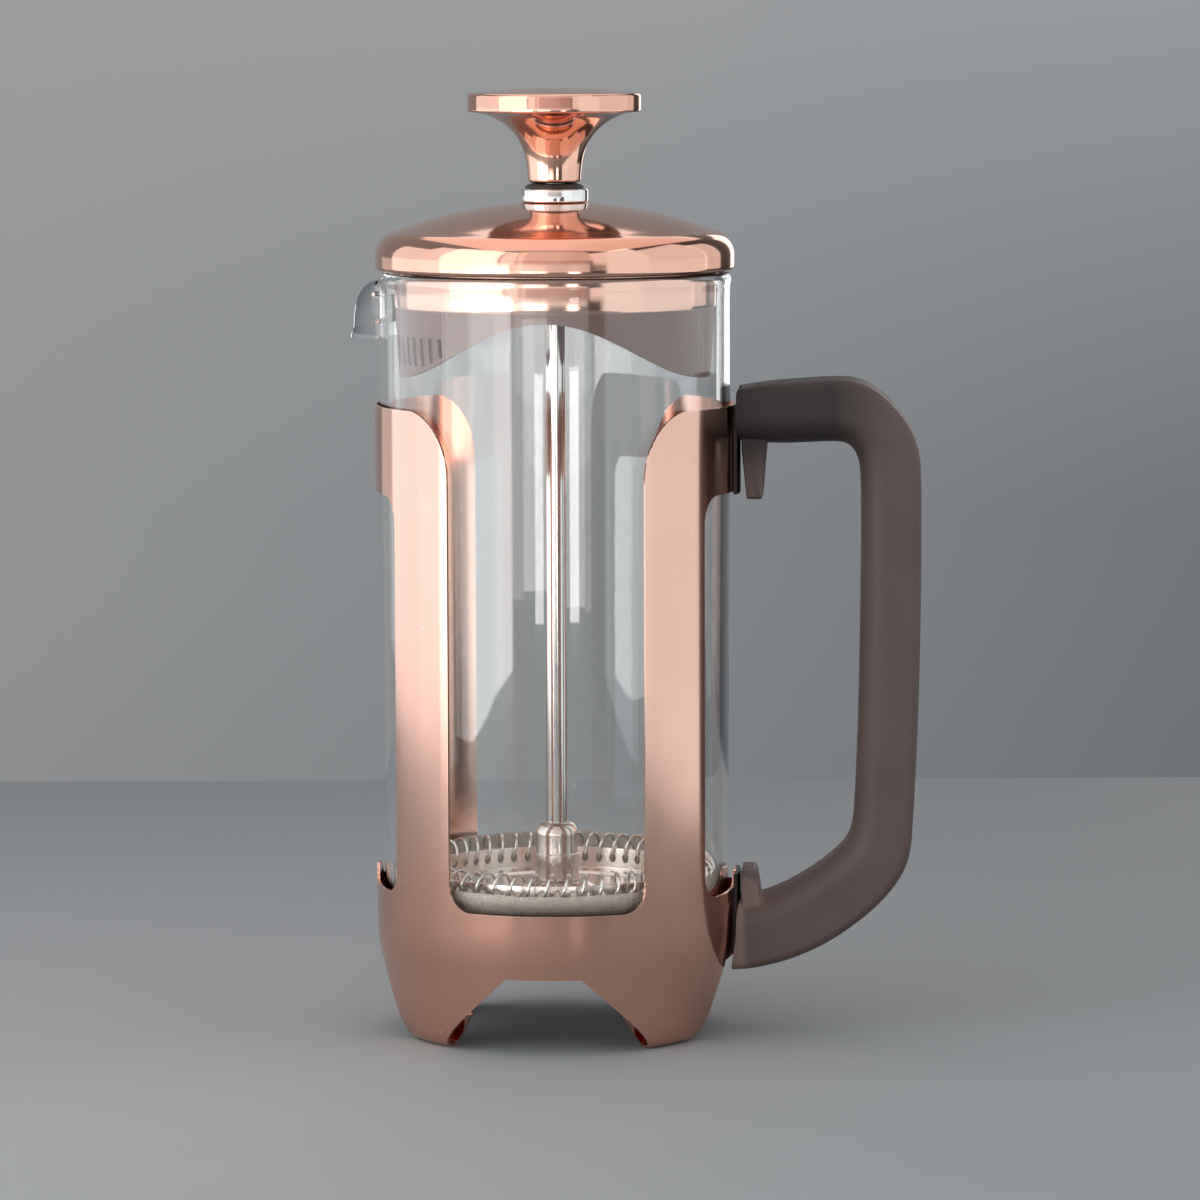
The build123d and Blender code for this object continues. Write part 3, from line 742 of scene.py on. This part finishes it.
# stepped plate with upturned holed rim
pt = fil([(2.1, 30.4), (6.2, 30.4, 0.8), (8.4, 28.8, 1.2), (19.0, 28.8, 0.6), (20.0, 29.3, 0.5), (24.6, 29.3, 0.6), (25.7, 28.75, 0.5), (27.0, 28.75, 0.35), (27.0, 33.2, 0.12),
          (27.45, 33.2, 0.12), (27.45, 28.3, 0.6), (25.4, 28.3, 0.5), (24.4, 28.85, 0.5), (20.2, 28.85, 0.5), (19.2, 28.35, 0.5), (8.2, 28.35, 1.0), (6.0, 29.9, 0.8), (2.1, 29.9)], 4, closed=True)
pl = lathe("spring_plate_pressed", pt, M_STEEL, segs=224)
hs = []
for k in range(56):
    a = TAU * (k + 0.6) / 56
    nseg = 12
    v = []
    for r in (25.8, 28.6):
        for i in range(nseg):
            t = TAU * i / nseg
            yy, zz = 0.72 * math.cos(t), 31.15 + 1.0 * math.sin(t)
            v.append((r * math.cos(a) - yy * math.sin(a), r * math.sin(a) + yy * math.cos(a), zz))
    f = [[i, (i + 1) % nseg, nseg + (i + 1) % nseg, nseg + i] for i in range(nseg)] + [list(range(nseg)), [nseg + i for i in range(nseg)][::-1]]
    hs.append(make("cutter", v, f, None, smooth=False))
boolean(pl, join(hs))
sharp(pl, 40)
done(pl, "plunger_body", "spring_plate", slot="stainless")

# coil spring bent into a ring
NC, RC, RH, WIRE, ZC = 56, 29.3, 2.6, 0.32, 33.1
verts, faces = [], []
steps, nw = 18, 8
tot = NC * steps


def coil(t):
    a = TAU * t / tot
    p = TAU * t / steps
    return Vector(((RC + RH * math.cos(p)) * math.cos(a), (RC + RH * math.cos(p)) * math.sin(a), ZC + RH * math.sin(p)))


for i in range(tot):
    c0, c1 = coil(i), coil(i + 0.01)
    tg = (c1 - c0).normalized()
    a = TAU * i / tot
    p = TAU * i / steps
    nrm = Vector((math.cos(p) * math.cos(a), math.cos(p) * math.sin(a), math.sin(p)))
    nrm = (nrm - tg * nrm.dot(tg)).normalized()
    bn = tg.cross(nrm)
    for k in range(nw):
        q = TAU * k / nw
        verts.append(tuple(c0 + nrm * (WIRE * math.cos(q)) + bn * (WIRE * math.sin(q))))
for i in range(tot):
    j = (i + 1) % tot
    for k in range(nw):
        k2 = (k + 1) % nw
        faces.append([i * nw + k, i * nw + k2, j * nw + k2, j * nw + k])
sp = make("filter_spring_coil", verts, faces, M_SPRING)
done(sp, "plunger_body", "filter_spring", slot="stainless")

# wire cloth that wraps up round the spring
mp = spl([(2.3, 27.6), (10, 27.6), (20, 27.6), (27.5, 27.6), (29.4, 27.85), (31.0, 28.7), (32.1, 30.0), (32.6, 31.2), (32.68, 31.9), (32.66, 32.6)], 6)
segs = 288
verts, faces, uvs = [], [], []
dist = [mp[0][0]]
for i in range(1, len(mp)):
    dist.append(dist[-1] + (Vector(mp[i]) - Vector(mp[i - 1])).length)
for (r, z), d in zip(mp, dist):
    for k in range(segs):
        a = TAU * k / segs
        w = 0.0
        if z > 30.5:
            w = 0.06 * math.sin(23 * a) + 0.05 * math.sin(41 * a + 1.3) + 0.08 * math.sin(9 * a + 0.4)
        lift = max(z - 29.0, 0) / 3.6 * (1.2 + 1.9 * math.sin(a) + 0.9 * w)
        verts.append(((r + w * 0.4) * math.cos(a), (r + w * 0.4) * math.sin(a), z + lift))
        uvs.append((d * math.cos(a + 0.5), d * math.sin(a + 0.5)))
for j in range(len(mp) - 1):
    for k in range(segs):
        k2 = (k + 1) % segs
        faces.append([j * segs + k, j * segs + k2, (j + 1) * segs + k2, (j + 1) * segs + k])
me = bpy.data.meshes.new("mesh_screen_cloth")
me.from_pydata([(x * MM, y * MM, z * MM) for x, y, z in verts], [], faces)
me.update()
ul = me.uv_layers.new(name="UVMap")
for p in me.polygons:
    p.use_smooth = True
    for li in p.loop_indices:
        ul.data[li].uv = uvs[me.loops[li].vertex_index]
ms = bpy.data.objects.new("mesh_screen_cloth", me)
ctx.collection.objects.link(ms)
me.materials.append(M_MESH)
sol = ms.modifiers.new("thick", "SOLIDIFY")
sol.thickness = 0.00016
sol.offset = 0
done(ms, "plunger_body", "mesh_screen", slot="stainless_mesh")

keep_node("cross_plate", M_STEEL, 0.12)
keep_node("filter_nut", M_STEEL, 0.2)
keep_node("ferrule_washer", M_STEEL, 0.12)
keep_node("ferrule_nut", M_STEEL, 0.25)
keep_node("handle_bracket_top", M_STRAP, 0.15)
keep_node("handle_bracket_bottom", M_STRAP, 0.15)

# ------------------------------------------------------------------ handle
out_l = spl([(36.6, 130.3), (38.6, 130.6), (42.9, 131.25), (50.0, 131.85), (55.6, 132.15), (59.5, 132.0), (63.0, 130.85),
             (66.6, 128.2), (69.8, 124.6), (72.0, 121.0), (73.1, 117.0), (73.45, 111.0), (73.5, 93.0), (73.35, 80.0),
             (73.05, 67.0), (72.55, 54.0), (72.0, 43.7), (71.6, 38.4), (70.7, 34.6), (68.5, 30.6), (65.0, 26.5),
             (59.9, 22.2), (53.7, 18.2), (47.0, 15.3), (41.8, 13.9), (37.6, 13.25), (36.6, 13.2)], 5)
in_l = spl([(36.9, 27.45), (38.3, 27.5), (41.3, 27.9), (45.4, 29.5), (49.5, 31.6), (54.1, 34.8), (57.7, 38.0),
            (59.4, 40.9), (59.95, 43.8), (60.4, 51.5), (60.95, 67.0), (61.3, 87.0), (61.4, 107.5), (61.15, 115.0),
            (60.4, 117.6), (58.8, 119.2), (56.2, 119.75), (48.7, 119.35), (42.6, 119.35), (38.5, 119.7), (36.7, 119.95)], 5)
HW = 8.0
RUNGS = [((36.6, 130.3), (36.7, 119.95)), ((55.6, 132.15), (56.2, 119.75)), ((69.8, 124.6), (59.8, 118.4)), ((73.45, 111.0), (61.3, 112.0)),
         ((73.05, 67.0), (60.95, 67.0)), ((71.9, 43.0), (59.7, 43.0)), ((66.5, 28.0), (57.7, 38.0)), ((53.7, 18.2), (45.4, 29.5)),
         ((36.6, 13.2), (36.9, 27.45))]
SEAT = [(2.0, 34.2), (4.6, 34.75), (8.5, 35.5), (12.2, 36.2), (15.8, 36.7), (18.0, 37.1), (20.0, 37.36), (22.5, 37.42), (200.0, 37.42)]


def seat_r(z):
    """Radius that the handle's ends are hollowed to, so that they sit round the frame."""
    for (z0, r0), (z1, r1) in zip(SEAT, SEAT[1:]):
        if z <= z1:
            return r0 + (r1 - r0) * max(z - z0, 0) / (z1 - z0)
    return SEAT[-1][1]


def lengths(pts):
    d = [0.0]
    for a, b in zip(pts, pts[1:]):
        d.append(d[-1] + math.hypot(b[0] - a[0], b[1] - a[1]))
    return d


def at(pts, d, t):
    for k in range(len(pts) - 1):
        if t <= d[k + 1] or k == len(pts) - 2:
            f = (t - d[k]) / max(d[k + 1] - d[k], 1e-9)
            return (pts[k][0] + (pts[k + 1][0] - pts[k][0]) * f, pts[k][1] + (pts[k + 1][1] - pts[k][1]) * f)


def nearest(pts, d, q):
    return min(zip(pts, d), key=lambda pd: math.hypot(pd[0][0] - q[0], pd[0][1] - q[1]))[1]


in_f = in_l[::-1]
d_out, d_in = lengths(out_l), lengths(in_f)
ko = [nearest(out_l, d_out, r[0]) for r in RUNGS]
ki = [nearest(in_f, d_in, r[1]) for r in RUNGS]
stations = []
for (a0, a1), (b0, b1) in zip(zip(ko, ko[1:]), zip(ki, ki[1:])):
    cnt = max(6, round((a1 - a0) / 1.6))
    stations += [(at(out_l, d_out, a0 + (a1 - a0) * k / cnt), at(in_f, d_in, b0 + (b1 - b0) * k / cnt)) for k in range(cnt)]
stations.append((out_l[-1], in_f[-1]))
# the in-between stations are eased so that the rungs turn smoothly
for _ in range(6):
    sm = [stations[0]]
    for a, b, c in zip(stations, stations[1:], stations[2:]):
        ta = nearest(in_f, d_in, a[1]); tc = nearest(in_f, d_in, c[1])
        mid = ((a[1][0] + c[1][0]) / 4 + b[1][0] / 2, (a[1][1] + c[1][1]) / 4 + b[1][1] / 2)
        sm.append((b[0], mid))
    sm.append(stations[-1])
    stations = sm
M = 10
verts, faces = [], []
rings = []
for si, (O, I) in enumerate(stations):
    L = math.hypot(I[0] - O[0], I[1] - O[1])
    ux, uz = (I[0] - O[0]) / L, (I[1] - O[1]) / L
    ro, ri = 1.8, min(5.2, L * 0.45)
    H = [(HW - ro + ro * math.sin(t), ro - ro * math.cos(t)) for t in [k / 7 * math.pi / 2 for k in range(8)]]
    H += [(HW, ro + (L - ro - ri) * k / 6) for k in range(1, 6)]
    H += [(HW - ri + ri * math.cos(t), L - ri + ri * math.sin(t)) for t in [k / 10 * math.pi / 2 for k in range(11)]]
    K = len(H)
    ring = list(H)
    ring += [(H[-1][0] * (1 - 2 * k / M), L) for k in range(1, M)]
    ring += [(-y, u) for y, u in H[::-1]]
    ring += [(-H[0][0] * (1 - 2 * k / M), 0.0) for k in range(1, M)]
    row = []
    for y, u in ring:
        x, z = O[0] + ux * u, O[1] + uz * u
        if si in (0, len(stations) - 1):
            x = math.sqrt(seat_r(z) ** 2 - y * y)
        else:
            x = max(x, math.sqrt(seat_r(z) ** 2 - y * y) + 0.12 * min(si, len(stations) - 1 - si))
        row.append(len(verts))
        verts.append((x, y, z))
    rings.append(row)
n = len(rings[0])
for ra, rb_ in zip(rings, rings[1:]):
    for k in range(n):
        faces.append([ra[k], ra[(k + 1) % n], rb_[(k + 1) % n], rb_[k]])
for row in (rings[0], rings[-1]):
    prev = None
    for k in range(K):
        a, b = row[k], row[K + M - 1 + (K - 1 - k)]
        if k == 0:
            cur = [a] + [row[-j] for j in range(1, M)] + [b]
        elif k == K - 1:
            cur = [a] + [row[K - 1 + j] for j in range(1, M)] + [b]
        else:
            cur = [a]
            pa, pb = verts[a], verts[b]
            for j in range(1, M):
                y = pa[1] + (pb[1] - pa[1]) * j / M
                z = pa[2] + (pb[2] - pa[2]) * j / M
                cur.append(len(verts))
                verts.append((math.sqrt(seat_r(z) ** 2 - y * y), y, z))
            cur.append(b)
        if prev:
            for j in range(M):
                faces.append([prev[j], prev[j + 1], cur[j + 1], cur[j]])
        prev = cur
hn = make("handle_body", verts, faces, M_HANDLE)


def block(name, pts, hw, mat, rad=0.5):
    """Small moulded block with an XZ outline."""
    P = fil([p + (rad,) for p in pts], 4, closed=True)
    n = len(P)
    lv = [(-hw, 0.45), (-hw + 0.15, 0.15), (-hw + 0.45, 0.0), (hw - 0.45, 0.0), (hw - 0.15, 0.15), (hw, 0.45)]
    cx = sum(p[0] for p in P) / n
    cz = sum(p[1] for p in P) / n
    vs, fs = [], []
    for y, c in lv:
        for x, z in P:
            d = Vector((cx - x, cz - z))
            L = d.length
            vs.append((x + d.x / L * c, y, z + d.y / L * c))
    for j in range(len(lv) - 1):
        for i in range(n):
            i2 = (i + 1) % n
            fs.append([j * n + i, j * n + i2, (j + 1) * n + i2, (j + 1) * n + i])
    fs.append(list(range(n)))
    fs.append([(len(lv) - 1) * n + i for i in range(n)][::-1])
    return make(name, vs, fs, mat)


fg = block("finger", [(42.8, 121.5), (41.7, 108.2), (38.6, 108.2), (37.6, 118.0), (37.5, 121.5)], 5.4, M_HANDLE, 0.45)
toe = block("toe", [(41.6, 25.5), (40.7, 32.0), (40.1, 33.3), (37.5, 33.3), (37.5, 25.5)], 6.1, M_HANDLE, 0.45)
boolean(hn, fg, "UNION")
boolean(hn, toe, "UNION")
hn.name = "handle_moulded"
sharp(hn, 38)
bevel(hn, 0.22, 2, 45)
done(hn, "frame_body", "handle", slot="dark_plastic")

# ------------------------------------------------------------------ floor, light, camera
CAM_AZ = math.radians(3.7)
fm, nt, b = node_mat("floor_grey")
v = coords(nt)
sx = nt.nodes.new("ShaderNodeSeparateXYZ")
nt.links.new(v, sx.inputs["Vector"])
c = mixcol(nt, remap(nt, noise(nt, v, 6.0, 4), 0, 1), (0.324, 0.347, 0.362), (0.346, 0.370, 0.386))
# painted shade: the floor colour darkens towards the back (Y -0.10 to 0.40 m) and towards the right (X -0.05 to 0.16
# m), standing in for the light falling off away from the front-left lamps
c = mixcol(nt, remap(nt, sx.outputs["Y"], 0.0, 1.0, -0.10, 0.40), c, (0.240, 0.272, 0.294))
c = mixcol(nt, remap(nt, sx.outputs["X"], 0.0, 1.0, -0.05, 0.16), c, (0.232, 0.257, 0.271))
nt.links.new(c, b.inputs["Base Color"])
b.inputs["Roughness"].default_value = 0.7
b.inputs["Specular IOR Level"].default_value = 0.12
add_bump(nt, b, noise(nt, v, 900.0, 3), 0.08, 0.0002)
ca, sa = math.cos(CAM_AZ), math.sin(CAM_AZ)
fv = [(x * ca - y * sa, x * sa + y * ca, -0.02) for x, y in ((-620, -1900), (620, -1900), (620, 372), (-620, 372))]
fl = make("floor", fv, [[0, 1, 2, 3]], fm, smooth=False)

w = bpy.data.worlds.new("studio")
ctx.scene.world = w
w.use_nodes = True
wt = w.node_tree
bg = wt.nodes["Background"]
tcw = wt.nodes.new("ShaderNodeTexCoord")
spw = wt.nodes.new("ShaderNodeSeparateXYZ")
wt.links.new(tcw.outputs["Generated"], spw.inputs["Vector"])


def wramp(sock, lo, hi, stops):
    mr = wt.nodes.new("ShaderNodeMapRange")
    mr.inputs["From Min"].default_value = lo
    mr.inputs["From Max"].default_value = hi
    wt.links.new(sock, mr.inputs["Value"])
    rp = wt.nodes.new("ShaderNodeValToRGB")
    while len(rp.color_ramp.elements) < len(stops):
        rp.color_ramp.elements.new(0.5)
    for el, (t, c) in zip(rp.color_ramp.elements, stops):
        el.position = (t - lo) / (hi - lo)
        el.color = (c[0], c[1], c[2], 1)
    wt.links.new(mr.outputs["Result"], rp.inputs["Fac"])
    return rp.outputs["Color"]


side = wramp(spw.outputs["X"], -1.0, 1.0, [(-1.0, (0.24, 0.25, 0.26)), (-0.3, (0.32, 0.33, 0.338)), (-0.16, (0.308, 0.316, 0.323)), (-0.06, (0.255, 0.269, 0.278)),
                                          (0.045, (0.178, 0.194, 0.208)), (0.2, (0.14, 0.15, 0.16)), (0.55, (0.06, 0.058, 0.058)), (1.0, (0.045, 0.043, 0.042))])
high = wramp(spw.outputs["X"], -1.0, 1.0, [(-1.0, (0.24, 0.25, 0.26)), (-0.3, (0.325, 0.335, 0.343)), (-0.06, (0.322, 0.329, 0.338)), (0.045, (0.302, 0.318, 0.330)), (0.12, (0.285, 0.302, 0.314)), (0.22, (0.18, 0.185, 0.19)), (0.55, (0.09, 0.086, 0.085)), (1.0, (0.05, 0.048, 0.047))])
up = wt.nodes.new("ShaderNodeMapRange")
up.inputs["From Min"].default_value = -0.09
up.inputs["From Max"].default_value = -0.005
wt.links.new(spw.outputs["Z"], up.inputs["Value"])
lay = wt.nodes.new("ShaderNodeMix")
lay.data_type = "RGBA"
wt.links.new(up.outputs["Result"], lay.inputs[0])
wt.links.new(side, lay.inputs[6])
wt.links.new(high, lay.inputs[7])
side = lay.outputs[2]
rise = wramp(spw.outputs["Z"], -1.0, 1.0, [(-1.0, (0.6, 0.6, 0.6)), (-0.16, (0.82, 0.82, 0.82)), (-0.10, (0.92, 0.92, 0.92)), (0.0, (1.0, 1.0, 1.0)), (0.5, (0.92, 0.92, 0.92)), (1.0, (0.9, 0.9, 0.9))])
mul = wt.nodes.new("ShaderNodeMix")
mul.data_type = "RGBA"
mul.blend_type = "MULTIPLY"
mul.inputs[0].default_value = 1.0
wt.links.new(side, mul.inputs[6])
wt.links.new(rise, mul.inputs[7])
wt.links.new(mul.outputs[2], bg.inputs["Color"])
bg.inputs["Strength"].default_value = 1.0


def panel(name, a0, d0, a1, d1, z0, z1, rad, color=(1, 1, 1)):
    """Upright light panel between two floor points, each given as an azimuth from the camera side and a distance."""
    def pt(a, d):
        t = math.radians(a) + CAM_AZ
        return Vector((math.sin(t) * d, -math.cos(t) * d, 0))
    p, q = pt(a0, d0), pt(a1, d1)
    mid = (p + q) / 2
    wide, tall = (q - p).length, z1 - z0
    L = bpy.data.lights.new(name, "AREA")
    L.shape = "RECTANGLE"
    L.size, L.size_y = wide, tall
    L.energy = rad * math.pi * wide * tall
    L.color = color
    o = bpy.data.objects.new(name, L)
    ctx.collection.objects.link(o)
    o.location = (mid.x, mid.y, (z0 + z1) / 2)
    n = Vector((-(q - p).y, (q - p).x, 0)).normalized()
    if n.dot(-mid) < 0:
        n = -n
    o.rotation_euler = n.to_track_quat("-Z", "Y").to_euler()
    o.visible_camera = False
    return o


WARM = (1.0, 0.86, 0.74)


def tier(name, a0, d0, a1, d1, parts, color=(1, 1, 1)):
    """A panel in steps of height, each with its own brightness."""
    for k, (z0, z1, rad) in enumerate(parts):
        panel(name + "_" + str(k), a0, d0, a1, d1, z0, z1, rad, color)


COOL = (0.99, 1.03, 1.07)
panel("panel_left_back", -142, 0.72, -124, 0.60, 0.0, 0.14, 0.42)
tier("panel_left", -124, 0.60, -95, 0.50, [(0.0, 0.16, 1.28), (0.16, 0.47, 0.88)], COOL)
tier("panel_left_seam", -95, 0.50, -77.3, 0.50, [(0.0, 0.16, 1.38), (0.16, 0.62, 0.95)], COOL)
panel("panel_left_front", -77, 0.54, -57, 0.50, 0.0, 0.125, 2.6, (1.0, 1.02, 1.02))
panel("panel_left_inner", -57, 0.50, -40, 0.60, 0.0, 0.125, 4.3, (1.0, 1.01, 1.02))
tier("panel_left_front_up", -77, 0.54, -35.6, 0.60, [(0.125, 0.70, 1.85)], (1.0, 1.03, 1.03))
panel("panel_left_strip", -40, 0.60, -28.5, 0.65, 0.0, 0.125, 5.4, (1.0, 0.97, 0.96))
panel("panel_left_strip_up", -34.0, 0.62, -25.0, 0.66, 0.125, 0.72, 1.0)
panel("panel_narrow", -28.5, 0.80, -21.0, 0.80, 0.0, 0.105, 1.3, (1.0, 0.96, 0.94))
panel("panel_narrow_up", -22.8, 0.80, -20.0, 0.80, 0.105, 0.85, 0.5, (1.0, 0.96, 0.94))
panel("panel_centre_left", -21.0, 0.82, -13.5, 0.82, 0.0, 0.100, 3.4, (1.0, 0.96, 0.94))
panel("panel_centre", -13.5, 0.82, -5.0, 0.82, 0.0, 0.100, 2.5, (1.0, 0.93, 0.91))
panel("room_low", -26, 1.75, 22, 1.75, 0.0, 0.10, 0.84, (0.97, 0.98, 1.0))
panel("room_mid", -26, 1.75, 22, 1.75, 0.10, 0.32, 0.37, (1.0, 0.74, 0.68))
panel("room_high", -26, 1.75, 24, 1.75, 0.32, 2.0, 0.63, (1.0, 0.86, 0.77))
panel("panel_low", 9.0, 0.75, 15.0, 0.75, 0.0, 0.085, 7.0, (1.0, 0.96, 0.94))
tier("panel_right_front", 32, 0.60, 60, 0.38, [(0.006, 0.62, 1.02)], (0.98, 1.07, 1.08))
tier("panel_right_front_up", 23.5, 0.72, 32, 0.61, [(0.13, 0.66, 0.95)])
tier("panel_right", 60, 0.38, 108, 0.30, [(0.006, 0.16, 0.96), (0.16, 0.46, 0.88)], (0.98, 1.06, 1.07))
panel("panel_right_back", 108, 0.36, 128, 0.46, 0.10, 0.42, 0.78)
panel("panel_edge", 150, 0.70, 164, 0.72, 0.05, 0.45, 1.6)
for name, x0, x1, y0, y1, rad, color in (("overhead_front", -0.42, 0.46, -0.45, 0.64, 0.88, (1.0, 0.82, 0.75)), ("overhead_back", -0.36, 0.44, 0.64, 0.80, 0.97, (1.0, 0.97, 0.98))):
    L = bpy.data.lights.new(name, "AREA")
    L.shape = "RECTANGLE"
    L.size, L.size_y = x1 - x0, y1 - y0
    L.energy = rad * math.pi * (x1 - x0) * (y1 - y0)
    L.color = color
    o = bpy.data.objects.new(name, L)
    ctx.collection.objects.link(o)
    o.location = ((x0 + x1) / 2, (y0 + y1) / 2, 0.72)
    o.visible_camera = False

F, D, HC = 5860.0, 1.175, 0.211
az = CAM_AZ
pitch = math.atan(0.211 / 1.175) - math.atan(427 / F)
cam = bpy.data.cameras.new("camera")
cam.sensor_width = 36.0
cam.lens = 36.0 * F / 1200.0
cam.clip_start, cam.clip_end = 0.05, 20.0
co = bpy.data.objects.new("camera", cam)
ctx.collection.objects.link(co)
co.location = (math.sin(az) * D, -math.cos(az) * D, HC)
co.rotation_euler = (Euler((math.pi / 2 - pitch, 0, az - math.atan(44.2 / F))).to_matrix() @ Matrix.Rotation(math.radians(-0.165), 3, "Z")).to_euler()
ctx.scene.camera = co
ctx.scene.view_settings.view_transform = "Standard"
ctx.scene.view_settings.look = "None"
ctx.scene.cycles.max_bounces = 20
ctx.scene.cycles.glossy_bounces = 12
ctx.scene.cycles.transmission_bounces = 20
ctx.scene.cycles.transparent_max_bounces = 24

for o in bpy.data.objects:
    o.select_set(False)
ctx.view_layer.update()
